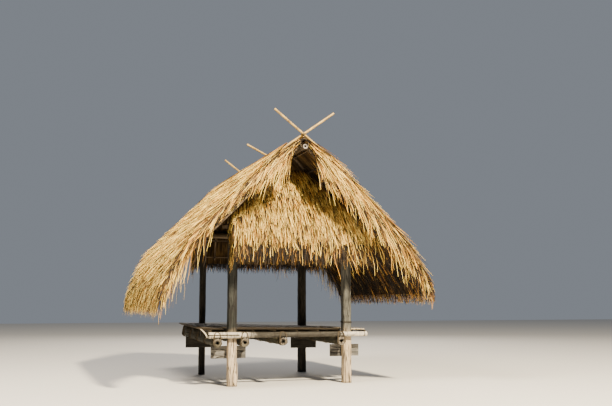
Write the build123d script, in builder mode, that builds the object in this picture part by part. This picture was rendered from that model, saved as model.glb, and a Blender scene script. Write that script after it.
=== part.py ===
from build123d import *
from math import cos, radians, sin, tan
import os

# Open field hut: four square posts, a raised bamboo deck and a straw roof with hipped-out gable aprons.
# Millimetres, +Z up. X = 0 is the line of the ridge, Y = 0 the middle of the hut, Z = 0 the ground.

# Driving dimensions of the timber frame
post_span_x = 1800
post_span_y = 2160
frame_shift = 50            # the posts stand this far to the right of the ridge line
post_side = 134
rear_left_post_side = 106   # the slimmest of the four
post_edge = 10
seat = 0.3                  # play between a round pole and what it rests on
cleat_play = 1.0            # a bearer rises slightly over the thickness of a cleat
slat_play = 1.2             # a slat stays level over poles that rise slightly
thin_sides = 12             # flats on the thin canes of the roof and floor
culm_sides = 24             # flats on the thick bamboo

# Driving dimensions of the deck, heights taken at the posts
cleat_height = 180
cleat_thickness = 45
cleat_half_length = 230
cleat_outreach = 290        # the left cleats reach further out of their posts, under the outer bearer
front_cleat_top = 578
rear_left_cleat_top = 640
rear_right_cleat_top = 604
bearer_top_front_left = 698
bearer_top_front_right = 702
bearer_top_rear_left = 738
bearer_top_rear_right = 702
bearer_front_overhang = 170
bearer_rear_overhang = 220
outer_bearer_offset = 250   # from the left posts' axis to the outer bearer's
left_bearer_gap = 30        # bearer to post, measured between their faces
right_bearer_gap = 12
middle_bearer_offset = 743
middle_bearer_radius = 55
ring_height = 2.5
ring_half_width = 9
bore_share = 0.36
bore_depth = 160
joist_left_radius = 46
joist_right_radius = 35
deck_left_overhang = 370    # front edge pole past the axes of the left and right posts
deck_right_overhang = 295
joist_count = 3
split_length = 450          # the front edge pole is split in two at its left end
split_width = 16
front_ring_pitch = 359
rear_pole_left_overhang = 280
rear_pole_right_overhang = 610
rear_pole_ring_pitch = 370
floor_pole_radius = 13
floor_pole_inset = 30       # outermost floor poles, from the ends of the front edge pole
floor_pole_count = 8
slat_inset = 45
slat_width = 92
slat_thickness = 14
slat_pitch = 101

# Driving dimensions of the roof
roof_pitch = 45
ridge_pole_z = 3450
ridge_pole_radius = 34
ridge_pole_proud = 40       # past the thatch
verge_overhang = 820        # thatch past the axes of the posts
plate_radius = 48
plate_overhang = 115
plate_notch = 16
rafter_radius = 21
rafter_setback = 335        # foot of the rafters inside the eave
rafter_bays = 3             # between the posts, with one more bay outside them at each end
batten_radius = 10
batten_count = 8
batten_first_x = 130
last_batten_setback = 385
batten_end_inset = 15
tie_beam_gap = 47           # below the lower wall plate
tie_beam_radius = 35
tie_beam_overhang = 130
king_post_radius = 32

# Driving dimensions of the thatch
thatch_thickness = 120
thatch_head_x = 110
cap_slope = 32
cap_thickness = 44
cap_half_width = 405
eave_reach = 2075
eave_bend_setback = 645
left_eave_drop = 440        # below the straight line of the slope
right_eave_drop = 330
verge_rounding = 45
eave_thickness = 95
eave_underlap = 60          # the straw stays straight this far past the last batten

# Driving dimensions of the gable aprons
gable_pole_radius = 33
gable_pole_overhang = 100
stud_radius = 14
apron_lean = 12
apron_left_overhang = 85    # past the axes of the posts
apron_right_overhang = 480  # the right end closes against the slope
apron_foot_drop = 500       # below and above the gable pole
apron_top_rise = 830
stud_foot_inset = 60
apron_batten_count = 5
apron_batten_inset = 20
apron_batten_foot = 110
apron_batten_head = 70
apron_top_thickness = 50    # the straw is laid thickest half way up
apron_belly_thickness = 240
apron_foot_thickness = 190
apron_clearance = 20        # under the rafters

# Driving dimensions of the crossed poles that pin the ridge thatch: place along the ridge, height of the
# crossing over the cap, slopes in degrees, and how far each pole rises past the crossing
pin_radius = 16
pin_reach = 350
front_pin_inset = 58
front_pin_over_cap = 43
front_pin_left_slope = 38
front_pin_right_slope = 36
front_pin_left_length = 560
front_pin_right_length = 595
middle_pin_y = -20
middle_pin_over_cap = 19
middle_pin_left_slope = 26
middle_pin_right_slope = 36
middle_pin_left_length = 415
rear_pin_inset = 58
rear_pin_over_cap = 24
rear_pin_left_slope = 36
rear_pin_right_slope = 34
rear_pin_left_length = 385
short_pin_length = 70

left_x = frame_shift - post_span_x / 2
right_x = frame_shift + post_span_x / 2
half_y = post_span_y / 2
slope = radians(roof_pitch)
thatch_end_y = half_y + verge_overhang

os.makedirs("parts", exist_ok=True)


def save(piece, label):
    piece.part.label = label
    export_step(piece.part, f"parts/{label}.step")


def bearer_top(x, y):
    """Height of the tops of the bearers: a surface ruled both ways between the four posts."""
    u = (x - left_x) / post_span_x
    v = (y + half_y) / post_span_y
    front = bearer_top_front_left * (1 - u) + bearer_top_front_right * u
    rear = bearer_top_rear_left * (1 - u) + bearer_top_rear_right * u
    return front * (1 - v) + rear * v


def joist_radius(x):
    along = (x - left_x + deck_left_overhang) / (post_span_x + deck_left_overhang + deck_right_overhang)
    return joist_left_radius + (joist_right_radius - joist_left_radius) * along


def joist_top(x, y):
    return bearer_top(x, y) + 2 * seat + 2 * joist_radius(x)


def floor_top(x, y):
    return joist_top(x, y) + seat + 2 * floor_pole_radius


def roof_line(x, lift=0.0):
    """Height of the rafters' undersides at a distance from the ridge, lifted square to the slope."""
    return ridge_pole_z + ridge_pole_radius / cos(slope) + lift / cos(slope) - abs(x) * tan(slope)


def pole(start, end, radius, sides=0):
    """Plain pole between two points, round or with a number of flats."""
    run = Vector(*end) - Vector(*start)
    with BuildPart() as stick:
        with BuildSketch(Plane(origin=start, z_dir=run.normalized())):
            if sides:
                RegularPolygon(radius, sides)
            else:
                Circle(radius)
        extrude(amount=run.length)
    return stick


def culm(start, end, start_radius, end_radius, rings=()):
    """Tapered bamboo culm with a raised ring at each joint and a bore into each open end."""
    run = Vector(*end) - Vector(*start)
    along = run.normalized()
    stations = [(0, 0)]
    for s in rings:
        stations += [(s - ring_half_width, 0), (s, ring_height), (s + ring_half_width, 0)]
    stations.append((run.length, 0))
    with BuildPart() as cane:
        for s, lift in stations:
            radius = start_radius + (end_radius - start_radius) * s / run.length
            with BuildSketch(Plane(origin=Vector(*start) + along * s, z_dir=along)):
                RegularPolygon(radius + lift, culm_sides)
        loft(ruled=True)
        for origin, inward, radius in ((start, along, start_radius), (end, -along, end_radius)):
            with BuildSketch(Plane(origin=origin, z_dir=inward)):
                RegularPolygon(radius * bore_share, thin_sides)
            extrude(amount=bore_depth, mode=Mode.SUBTRACT)
    return cane


# Posts: square timbers standing on the ground, saddle-notched on top for the wall plates
def plate_z(x):
    return roof_line(x, -plate_radius)


posts = (
    ("post_front_left", left_x, -half_y, post_side),
    ("post_front_right", right_x, -half_y, post_side),
    ("post_rear_left", left_x, half_y, rear_left_post_side),
    ("post_rear_right", right_x, half_y, post_side),
)
for label, x, y, side in posts:
    height = plate_z(x) - plate_radius + plate_notch
    with BuildPart() as post:
        with BuildSketch():
            with Locations((x, y)):
                Rectangle(side, side)
        extrude(amount=height)
        chamfer(post.edges().filter_by(Axis.Z), length=post_edge)
        with BuildSketch(Plane.XZ.offset(-y - side)):
            with Locations((x, plate_z(x))):
                Circle(plate_radius + seat)
        extrude(amount=2 * side, mode=Mode.SUBTRACT)
    save(post, label)

# Cleats: short planks spiked to the inner faces of the posts, carrying the bearers
cleats = (
    ("cleat_front_left", left_x, -1, post_side, front_cleat_top, cleat_outreach),
    ("cleat_front_right", right_x, -1, post_side, front_cleat_top, cleat_half_length),
    ("cleat_rear_left", left_x, 1, rear_left_post_side, rear_left_cleat_top, cleat_outreach),
    ("cleat_rear_right", right_x, 1, post_side, rear_right_cleat_top, cleat_half_length),
)
for label, x, end, side, top, outreach in cleats:
    middle = (x + (cleat_half_length - outreach) / 2, end * (half_y - side / 2 - cleat_thickness / 2))
    with BuildPart() as cleat:
        with BuildSketch(Plane.XY.offset(top - cleat_height)):
            with Locations(middle):
                Rectangle(outreach + cleat_half_length, cleat_thickness)
        extrude(amount=cleat_height)
    save(cleat, label)

# Bearers: thick bamboo running front to back, each as thick as the room between its cleats and the deck
cleat_y = half_y - post_side / 2 - cleat_thickness / 2
edge_pole_y = half_y + post_side / 2 + joist_left_radius + seat
joist_pitch = 2 * edge_pole_y / (joist_count + 1)
bearer_front_y = -half_y - bearer_front_overhang
bearer_rear_y = half_y + bearer_rear_overhang
left_bearer_x = left_x + post_side / 2 + left_bearer_gap + (bearer_top_front_left - front_cleat_top) / 2
right_bearer_x = right_x - post_side / 2 - right_bearer_gap - (bearer_top_front_right - front_cleat_top) / 2


def bearer(x, radius_front, radius_rear, stagger):
    """Culm whose radii are set at the two cleats and whose top follows the deck surface."""
    def radius(y):
        return radius_front + (radius_rear - radius_front) * (y + cleat_y) / (2 * cleat_y)

    rings = [(k - 1.5) * joist_pitch + stagger - bearer_front_y for k in range(3)]
    start = (x, bearer_front_y, bearer_top(x, bearer_front_y) - radius(bearer_front_y))
    end = (x, bearer_rear_y, bearer_top(x, bearer_rear_y) - radius(bearer_rear_y))
    return culm(start, end, radius(bearer_front_y), radius(bearer_rear_y), rings)


bearers = (
    ("bearer_outer_left", left_x - outer_bearer_offset, rear_left_cleat_top, 30),
    ("bearer_inner_left", left_bearer_x, rear_left_cleat_top, -25),
    ("bearer_right", right_bearer_x, rear_right_cleat_top, 10),
)
for label, x, rear_seat, stagger in bearers:
    front_radius = (bearer_top(x, -cleat_y) - front_cleat_top - cleat_play) / 2
    rear_radius = (bearer_top(x, cleat_y) - rear_seat - cleat_play) / 2
    save(bearer(x, front_radius, rear_radius, stagger), label)
middle_bearer = bearer(left_x + middle_bearer_offset, middle_bearer_radius, middle_bearer_radius, -10)
save(middle_bearer, "bearer_middle")


# Deck joists: poles across the bearers, butt ends to the left, all with one taper
def joist(y, x_from, x_to, rings=()):
    start = (x_from, y, bearer_top(x_from, y) + seat + joist_radius(x_from))
    end = (x_to, y, bearer_top(x_to, y) + seat + joist_radius(x_to))
    return culm(start, end, joist_radius(x_from), joist_radius(x_to), rings)


deck_from_x = left_x - deck_left_overhang
deck_to_x = right_x + deck_right_overhang
front_rings = [265 + front_ring_pitch * k for k in range(6)]
split_z = joist_top(deck_from_x, -edge_pole_y) - joist_left_radius
with BuildPart() as front_edge_pole:
    add(joist(-edge_pole_y, deck_from_x, deck_to_x, front_rings).part)
    with BuildSketch(Plane.XZ.offset(edge_pole_y + 2 * joist_left_radius)):
        with Locations((deck_from_x, split_z)):
            SlotOverall(2 * split_length, split_width)
    extrude(amount=-4 * joist_left_radius, mode=Mode.SUBTRACT)
save(front_edge_pole, "front_edge_pole")
rear_pole_from_x = left_x - rear_pole_left_overhang
rear_rings = [rear_pole_ring_pitch * (k + 0.6) for k in range(6)]
save(joist(edge_pole_y, rear_pole_from_x, right_x + rear_pole_right_overhang, rear_rings), "rear_edge_pole")
with BuildPart() as deck_joists:
    for k in range(joist_count):
        add(joist((k - (joist_count - 1) / 2) * joist_pitch, deck_from_x, deck_to_x).part)
save(deck_joists, "deck_joists")

# Floor poles: thin canes over the joists, the outermost also over the edge poles
with BuildPart() as floor_poles:
    for k in range(floor_pole_count):
        outermost = k in (0, floor_pole_count - 1)
        first_x = deck_from_x + floor_pole_inset
        x = first_x + (deck_to_x - floor_pole_inset - first_x) * k / (floor_pole_count - 1)
        reach = edge_pole_y if outermost else cleat_y
        lift = seat + floor_pole_radius
        add(pole((x, -reach, joist_top(x, -reach) + lift), (x, reach, joist_top(x, reach) + lift),
                 floor_pole_radius, thin_sides).part)
save(floor_poles, "floor_poles")

# Floor slats: flattened split bamboo along the hut, each bowed across its width
slat_count = int(2 * (half_y - post_side / 2) // slat_pitch)
slat_from_x = deck_from_x - slat_inset
slat_to_x = deck_to_x + slat_inset
with BuildPart() as floor_slats:
    for k in range(slat_count):
        y = (k - (slat_count - 1) / 2) * slat_pitch
        start = Vector(slat_from_x, y, floor_top(slat_from_x, y) + slat_play)
        end = Vector(slat_to_x, y, floor_top(slat_to_x, y) + slat_play)
        with BuildSketch(Plane(origin=start, x_dir=(0, 1, 0), z_dir=(end - start).normalized())):
            with BuildLine():
                Line((-slat_width / 2, 0), (slat_width / 2, 0))
                ThreePointArc((slat_width / 2, 0), (0, slat_thickness), (-slat_width / 2, 0))
            make_face()
        extrude(amount=(end - start).length)
save(floor_slats, "floor_slats")

# Wall plates: one pole on each side, in the notches of the post tops
plate_end_y = half_y + plate_overhang
for label, x in (("wall_plate_left", left_x), ("wall_plate_right", right_x)):
    z = plate_z(x)
    save(pole((x, -plate_end_y, z), (x, plate_end_y, z), plate_radius), label)

# Tie beams across the inner faces of the posts, and king posts from them up to the ridge pole
tie_beam_z = plate_z(right_x) - plate_radius - tie_beam_gap - tie_beam_radius
for label, end in (("front", -1), ("rear", 1)):
    y = end * (half_y - post_side / 2 - tie_beam_radius - seat)
    x_from = left_x - tie_beam_overhang
    x_to = right_x + tie_beam_overhang
    save(pole((x_from, y, tie_beam_z), (x_to, y, tie_beam_z), tie_beam_radius), f"tie_beam_{label}")
    foot = tie_beam_z + tie_beam_radius + seat
    head = ridge_pole_z - ridge_pole_radius - seat
    save(pole((0, y, foot), (0, y, head), king_post_radius), f"king_post_{label}")

# Ridge pole
ridge_pole_end_y = thatch_end_y + ridge_pole_proud
save(culm((0, -ridge_pole_end_y, ridge_pole_z), (0, ridge_pole_end_y, ridge_pole_z),
          ridge_pole_radius, ridge_pole_radius), "ridge_pole")

# Rafters: pairs mitred together over the ridge pole, and battens along the hut on top of them
rafter_pitch_y = post_span_y / rafter_bays
rafter_count = rafter_bays + 3
rafter_end_x = eave_reach - rafter_setback
batten_last_x = eave_reach - last_batten_setback
batten_end_y = thatch_end_y - batten_end_inset
rafter_overrun = 3 * rafter_radius
for label, side in (("left", -1), ("right", 1)):
    with BuildPart() as rafters:
        for k in range(rafter_count):
            y = (k - (rafter_count - 1) / 2) * rafter_pitch_y
            lift = rafter_radius + seat
            head = (-side * rafter_overrun, y, roof_line(0, lift) + rafter_overrun * tan(slope))
            foot = (side * rafter_end_x, y, roof_line(rafter_end_x, lift))
            add(pole(head, foot, rafter_radius, thin_sides).part)
        split(bisect_by=Plane.YZ.offset(side * seat), keep=Keep.TOP if side > 0 else Keep.BOTTOM)
    save(rafters, f"rafters_{label}")
    with BuildPart() as battens:
        for k in range(batten_count):
            x = batten_first_x + (batten_last_x - batten_first_x) * k / (batten_count - 1)
            z = roof_line(x, 2 * rafter_radius + 2 * seat + batten_radius)
            ends = [(side * x, y, z) for y in (-batten_end_y, batten_end_y)]
            add(pole(*ends, batten_radius, thin_sides).part)
    save(battens, f"battens_{label}")

# Thatch: the slopes are thick straw slabs that bend over the eaves, under a cap folded across the ridge
under = 2 * rafter_radius + 2 * batten_radius + 3 * seat
cap_apex_z = roof_line(0, 2 * rafter_radius + 2 * seat) + cap_thickness
eave_bend_x = eave_reach - eave_bend_setback
inner_bend_x = batten_last_x + eave_underlap


def cap_z(x, drop=0.0):
    return cap_apex_z - abs(x) * tan(radians(cap_slope)) - drop


slope_middle = roof_line(0, under + thatch_thickness / 2)
for label, side, eave_drop in (("left", -1, left_eave_drop), ("right", 1, right_eave_drop)):
    eave_z = roof_line(eave_reach, under + thatch_thickness) - eave_drop
    head = (side * thatch_head_x, roof_line(thatch_head_x, under))
    bend = (side * eave_bend_x, roof_line(eave_bend_x, under + thatch_thickness))
    inner_bend = (side * inner_bend_x, roof_line(inner_bend_x, under))
    downhill = (side * cos(slope), -sin(slope))
    with BuildPart() as thatch:
        with BuildSketch(Plane.XZ.offset(thatch_end_y)):
            with BuildLine():
                Polyline(inner_bend, head,
                         (side * thatch_head_x, cap_z(thatch_head_x, cap_thickness + seat)),
                         (side * cap_half_width, cap_z(cap_half_width, cap_thickness + seat)),
                         (side * cap_half_width, roof_line(cap_half_width, under + thatch_thickness)), bend)
                TangentArc(bend, (side * eave_reach, eave_z), tangent=downhill)
                Line((side * eave_reach, eave_z), (side * (eave_reach - eave_thickness), eave_z))
                TangentArc(inner_bend, (side * (eave_reach - eave_thickness), eave_z), tangent=downhill)
            make_face()
        extrude(amount=-2 * thatch_end_y)
        verges = thatch.faces().filter_by(Axis.Y).edges().filter_by(lambda e: e.length > eave_bend_setback)
        fillet(verges.filter_by(lambda e: abs(e.center().X) + e.center().Z > slope_middle), verge_rounding)
    save(thatch, f"thatch_{label}")

# Crossed poles over the ridge, each pair side by side, lying in grooves pressed into the cap
pin_pairs = (
    ("front", front_pin_inset - thatch_end_y, front_pin_over_cap,
     (front_pin_left_slope, front_pin_left_length), (front_pin_right_slope, front_pin_right_length)),
    ("middle", middle_pin_y, middle_pin_over_cap,
     (middle_pin_left_slope, middle_pin_left_length), (middle_pin_right_slope, short_pin_length)),
    ("rear", thatch_end_y - rear_pin_inset, rear_pin_over_cap,
     (rear_pin_left_slope, rear_pin_left_length), (rear_pin_right_slope, short_pin_length)),
)
pins = []
for name, y, over_cap, left_lean, right_lean in pin_pairs:
    for hand, side, (angle, rise) in (("left", -1, left_lean), ("right", 1, right_lean)):
        a = radians(angle)
        beside = y + side * (pin_radius + seat)
        tip = (side * rise * cos(a), beside, cap_apex_z + over_cap + rise * sin(a))
        tail = (-side * pin_reach, beside, cap_apex_z + over_cap - pin_reach * tan(a))
        pins.append((f"crossed_pole_{name}_{hand}", tip, tail))
for label, tip, tail in pins:
    save(pole(tip, tail, pin_radius, thin_sides), label)
grooves = [pole(tip, tail, pin_radius + seat, thin_sides).part for label, tip, tail in pins]

cap_top = [(x, cap_z(x)) for x in (-cap_half_width, 0, cap_half_width)]
cap_underside = [(x, cap_z(x, cap_thickness)) for x in (cap_half_width, 0, -cap_half_width)]
with BuildPart() as thatch_cap:
    with BuildSketch(Plane.XZ.offset(thatch_end_y)):
        with BuildLine():
            Polyline(*cap_top, *cap_underside, close=True)
        make_face()
    extrude(amount=-2 * thatch_end_y)
    for groove in grooves:
        add(groove, mode=Mode.SUBTRACT)
save(thatch_cap, "thatch_ridge")

# Gable aprons: a pole across the posts, leaning studs, battens and a skirt of straw, front and rear
lean = radians(apron_lean)
gable_pole_z = plate_z(right_x) - plate_radius - gable_pole_radius - seat
gable_pole_y = half_y + post_side / 2 + gable_pole_radius + seat
rafter_face_y = rafter_pitch_y * ((rafter_count - 1) / 2 - 1) + rafter_radius
king_face_y = half_y - post_side / 2 - tie_beam_radius + king_post_radius
apron_left_x = left_x - apron_left_overhang
apron_right_x = right_x + apron_right_overhang
apron_foot_z = gable_pole_z - apron_foot_drop
apron_top_z = gable_pole_z + apron_top_rise
stud_foot_z = apron_foot_z + stud_foot_inset


def lean_y(z, forward=0.0):
    """Distance of the studs' axis plane from the middle of the hut at a height, moved square out of it."""
    on_pole = gable_pole_y + (gable_pole_radius + stud_radius + seat) / cos(lean)
    return on_pole - (z - gable_pole_z) * tan(lean) + forward / cos(lean)


def lean_z(y):
    """Height at which the studs' axis plane is this far from the middle of the hut."""
    return gable_pole_z + (lean_y(gable_pole_z) - y) / tan(lean)


side_stud_top = lean_z(rafter_face_y + stud_radius / cos(lean) + seat)
side_stud_x = (roof_line(0, rafter_radius) - side_stud_top) / tan(slope)
under_ridge_pole = ridge_pole_z - ridge_pole_radius - stud_radius
middle_stud_top = min(lean_z(king_face_y + stud_radius / cos(lean) + seat), under_ridge_pole)
batten_forward = stud_radius + seat + batten_radius
skirt_forward = stud_radius + 2 * seat + 2 * batten_radius
for label, end in (("front", -1), ("rear", 1)):
    gable_pole_from = (left_x - gable_pole_overhang, end * gable_pole_y, gable_pole_z)
    gable_pole_to = (right_x + gable_pole_overhang, end * gable_pole_y, gable_pole_z)
    save(pole(gable_pole_from, gable_pole_to, gable_pole_radius), f"gable_pole_{label}")
    with BuildPart() as studs:
        for x, top in ((-side_stud_x, side_stud_top), (0, middle_stud_top), (side_stud_x, side_stud_top)):
            add(pole((x, end * lean_y(stud_foot_z), stud_foot_z), (x, end * lean_y(top), top),
                     stud_radius, thin_sides).part)
    save(studs, f"apron_studs_{label}")
    with BuildPart() as apron_battens:
        for k in range(apron_batten_count):
            z_first = apron_foot_z + apron_batten_foot
            z = z_first + (apron_top_z - apron_batten_head - z_first) * k / (apron_batten_count - 1)
            room = (roof_line(0) - z) / tan(slope) - 2 * apron_clearance
            x_from = max(apron_left_x + apron_batten_inset, -room)
            x_to = min(apron_right_x - apron_batten_inset, room)
            y = end * lean_y(z, batten_forward)
            add(pole((x_from, y, z), (x_to, y, z), batten_radius, thin_sides).part)
    save(apron_battens, f"apron_battens_{label}")
    apron_middle_z = (apron_top_z + apron_foot_z) / 2
    top_out = (end * lean_y(apron_top_z, skirt_forward + apron_top_thickness), apron_top_z)
    middle_out = (end * lean_y(apron_middle_z, skirt_forward + apron_belly_thickness), apron_middle_z)
    foot_out = (end * lean_y(apron_foot_z, skirt_forward + apron_foot_thickness), apron_foot_z)
    with BuildPart() as skirt:
        with BuildSketch(Plane.YZ.offset(apron_left_x)):
            with BuildLine():
                Polyline(top_out, (end * lean_y(apron_top_z, skirt_forward), apron_top_z),
                         (end * lean_y(apron_foot_z, skirt_forward), apron_foot_z), foot_out)
                ThreePointArc(foot_out, middle_out, top_out)
            make_face()
        extrude(amount=apron_right_x - apron_left_x)
        with BuildSketch(Plane.XZ.offset(2 * half_y)):
            with BuildLine():
                limit = roof_line(0) - apron_clearance
                reach = (limit - apron_foot_z) / tan(slope)
                Polyline((0, limit), (reach, apron_foot_z), (-reach, apron_foot_z), close=True)
            make_face()
        extrude(amount=-4 * half_y, mode=Mode.INTERSECT)
    save(skirt, f"apron_{label}")
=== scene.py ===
import math

import bmesh
import bpy
import numpy as np
from mathutils import Euler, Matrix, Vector, noise


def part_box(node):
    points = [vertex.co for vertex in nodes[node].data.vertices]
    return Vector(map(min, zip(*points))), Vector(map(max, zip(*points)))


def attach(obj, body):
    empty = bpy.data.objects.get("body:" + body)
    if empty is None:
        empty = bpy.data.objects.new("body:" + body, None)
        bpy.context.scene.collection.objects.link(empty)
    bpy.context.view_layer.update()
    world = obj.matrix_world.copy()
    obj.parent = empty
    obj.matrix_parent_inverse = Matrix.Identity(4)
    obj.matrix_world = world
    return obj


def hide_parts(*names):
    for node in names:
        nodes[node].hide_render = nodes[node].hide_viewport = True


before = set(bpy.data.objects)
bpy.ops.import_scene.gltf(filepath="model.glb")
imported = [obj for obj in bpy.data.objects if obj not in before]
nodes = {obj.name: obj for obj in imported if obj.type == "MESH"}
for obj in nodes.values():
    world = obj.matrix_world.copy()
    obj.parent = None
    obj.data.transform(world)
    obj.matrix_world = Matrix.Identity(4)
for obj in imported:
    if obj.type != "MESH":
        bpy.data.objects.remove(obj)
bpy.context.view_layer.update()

# Stand, camera and light
# The hut stands on a pale studio floor and is seen from the height of a person's eye, in front of it and to
# the left. A lamp high on the front right throws the shadows under the roof, and two wide soft ones fill in
# from the left and the back.
eye = Vector((-3.77, -13.11, 1.2))
eye_turn = 0.3262
eye_lift = 0.1204
focal_pixels = 830
picture_width = 612
sensor_width = 36
floor_half = 40.0


def placed(name, data):
    """A new object of the scene, at the origin."""
    thing = bpy.data.objects.new(name, data)
    bpy.context.scene.collection.objects.link(thing)
    return thing


def soft_lamp(name, place, target, side, power, colour):
    """A round lamp that shines from its place at a target."""
    lamp = bpy.data.lights.new(name, "AREA")
    lamp.shape = "DISK"
    lamp.size = side
    lamp.energy = power
    lamp.color = colour
    holder = placed(name, lamp)
    holder.location = place
    holder.rotation_euler = (Vector(target) - Vector(place)).to_track_quat("-Z", "Y").to_euler()


lens = bpy.data.cameras.new("camera")
lens.sensor_width = sensor_width
lens.lens = sensor_width * focal_pixels / picture_width
lens.clip_end = 5 * floor_half
camera = placed("camera", lens)
camera.location = eye
camera.rotation_euler = Euler((math.pi / 2 + eye_lift, 0, -eye_turn))
bpy.context.scene.camera = camera

soft_lamp("key_lamp", (3.0, -14.0, 13.0), (0, 0, 1.8), 1.4, 15500, (1.0, 0.85, 0.60))
soft_lamp("top_lamp", (-10.0, -5.0, 11.0), (0, 0, 2.0), 4.0, 3400, (1.0, 0.90, 0.76))
soft_lamp("back_lamp", (5.0, 14.0, 9.0), (0, 0, 2.0), 7.0, 1300, (1.0, 0.93, 0.84))

sky = bpy.data.worlds.new("studio")
sky.use_nodes = True
sky.node_tree.nodes["Background"].inputs["Color"].default_value = (0.80, 0.88, 1.0, 1)
sky.node_tree.nodes["Background"].inputs["Strength"].default_value = 0.26
bpy.context.scene.world = sky

bpy.ops.mesh.primitive_plane_add(size=2 * floor_half)
floor = bpy.context.object
floor.name = "floor"
floor_paint = bpy.data.materials.new("floor_paint")
floor_paint.use_nodes = True
floor_paint.node_tree.nodes["Principled BSDF"].inputs["Base Color"].default_value = (0.58, 0.56, 0.53, 1)
floor_paint.node_tree.nodes["Principled BSDF"].inputs["Roughness"].default_value = 0.9
floor.data.materials.append(floor_paint)


# Posts
# Four squared hardwood posts stand in the ground and carry everything. The timber is old and unpainted: grey
# and split along its grain. Below the deck its colour is painted paler and warmer as painted sunlight, and
# above it darker as painted shade under the roof.
def operator(operation):
    """What a Python operator does between a wire and what stands to its right: it adds a Math node."""
    return lambda wire, other=0.0: wire.graph.maths(operation, wire, other)


def reflected(operation):
    """The same with the wire to the right."""
    return lambda wire, other: wire.graph.maths(operation, other, wire)


class Wire:
    """A socket of a node tree. Python's operators on it add the Math nodes that they stand for."""

    def __init__(self, graph, socket):
        self.graph = graph
        self.socket = socket

    def beside(self, name):
        """Another output of the same node."""
        return Wire(self.graph, pick(self.socket.node.outputs, name))

    def vector(self, operation, other=None, out=0):
        sockets = {0: self} if other is None else {0: self, 1: other}
        return self.graph.add("ShaderNodeVectorMath", {"operation": operation}, sockets, out)

    def scaled(self, factor):
        return self.graph.add("ShaderNodeVectorMath", {"operation": "SCALE"}, {0: self, "Scale": factor})

    def moved(self, other):
        return self.vector("ADD", other)

    def part(self, axis):
        return self.graph.add("ShaderNodeSeparateXYZ", {}, {0: self}, axis)

    def clamped(self):
        return self.graph.add("ShaderNodeClamp", {}, {0: self})

    __add__, __radd__ = operator("ADD"), reflected("ADD")
    __sub__, __rsub__ = operator("SUBTRACT"), reflected("SUBTRACT")
    __mul__, __rmul__ = operator("MULTIPLY"), reflected("MULTIPLY")
    __truediv__, __rtruediv__ = operator("DIVIDE"), reflected("DIVIDE")
    __pow__, __abs__ = operator("POWER"), operator("ABSOLUTE")


def pick(sockets, name):
    """A socket by its number, or the first one in use that has this name."""
    if isinstance(name, int):
        return sockets[name]
    return next(socket for socket in sockets if socket.name == name and socket.enabled)


class Graph:
    """A node tree under construction."""

    def __init__(self, tree):
        self.tree = tree

    def add(self, kind, settings, sockets, out=0):
        """Adds a node: first its settings, then the values or wires of its sockets. Gives its output."""
        node = self.tree.nodes.new(kind)
        for name, value in settings.items():
            if name == "stops":
                ramp = node.color_ramp.elements
                while len(ramp) < len(value):
                    ramp.new(0.5)
                for stop, (place, colour) in zip(ramp, value):
                    stop.position = place
                    stop.color = (*colour, 1)
            elif name == "fields":
                for label, field in value.items():
                    held_kind = "VECTOR" if field.socket.type == "VECTOR" else "FLOAT"
                    node.capture_items.new(held_kind, label)
            else:
                setattr(node, name, value)
        for name, value in sockets.items():
            socket = pick(node.inputs, name)
            if isinstance(value, Wire):
                self.tree.links.new(value.socket, socket)
            else:
                socket.default_value = value
        return Wire(self, pick(node.outputs, out)) if len(node.outputs) else node

    def maths(self, operation, left, right=0.0):
        return self.add("ShaderNodeMath", {"operation": operation}, {0: left, 1: right})

    def noise(self, place, scale, detail=3.0, rough=0.55, warp=0.0):
        return self.add("ShaderNodeTexNoise", {}, {
            "Vector": place, "Scale": scale, "Detail": detail, "Roughness": rough, "Distortion": warp})

    def ramp(self, factor, *stops):
        return self.add("ShaderNodeValToRGB", {"stops": stops}, {0: factor})

    def step(self, value, start, end):
        """0 before start, 1 after end and smooth between."""
        return self.add("ShaderNodeMapRange", {"interpolation_type": "SMOOTHSTEP"}, {
            "Value": value, "From Min": start, "From Max": end})

    def blend(self, factor, first, second, way="MIX"):
        """Mixes two colours."""
        return self.add("ShaderNodeMix", {"data_type": "RGBA", "blend_type": way}, {
            0: factor, 6: first, 7: second}, 2)


class Finish(Graph):
    """A material under construction, with the place on the object in metres and its finished shader."""

    def __init__(self, name):
        self.material = bpy.data.materials.new(name)
        self.material.use_nodes = True
        super().__init__(self.material.node_tree)
        self.place = self.add("ShaderNodeTexCoord", {}, {}, "Object")

    def complete(self, colour, roughness, height=None, depth=0.0, shine=0.3):
        """Wires the look to the shader. A height of 1 stands depth metres above one of 0."""
        shader = self.tree.nodes["Principled BSDF"]
        shader.inputs["Specular IOR Level"].default_value = shine
        for name, value in (("Base Color", colour), ("Roughness", roughness)):
            if isinstance(value, Wire):
                self.tree.links.new(value.socket, shader.inputs[name])
            else:
                shader.inputs[name].default_value = value
        if height is not None:
            bump = self.add("ShaderNodeBump", {}, {"Distance": depth, "Height": height})
            self.tree.links.new(bump.socket, shader.inputs["Normal"])
        return self.material


def scaled_place(finish, place, axis, along, across=1.0):
    """A place scaled along one axis, and by another number across it."""
    scale = [across] * 3
    scale[axis] = along
    return finish.add("ShaderNodeMapping", {}, {"Vector": place, "Scale": scale})


def grain_place(finish, along, stretch, turn=(0, 0, 0)):
    """The place on the object, drawn out along one axis, for a pattern that runs with the grain."""
    turned = finish.add("ShaderNodeMapping", {}, {"Vector": finish.place, "Rotation": turn})
    return scaled_place(finish, turned, along, 1.0 / stretch)


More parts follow.
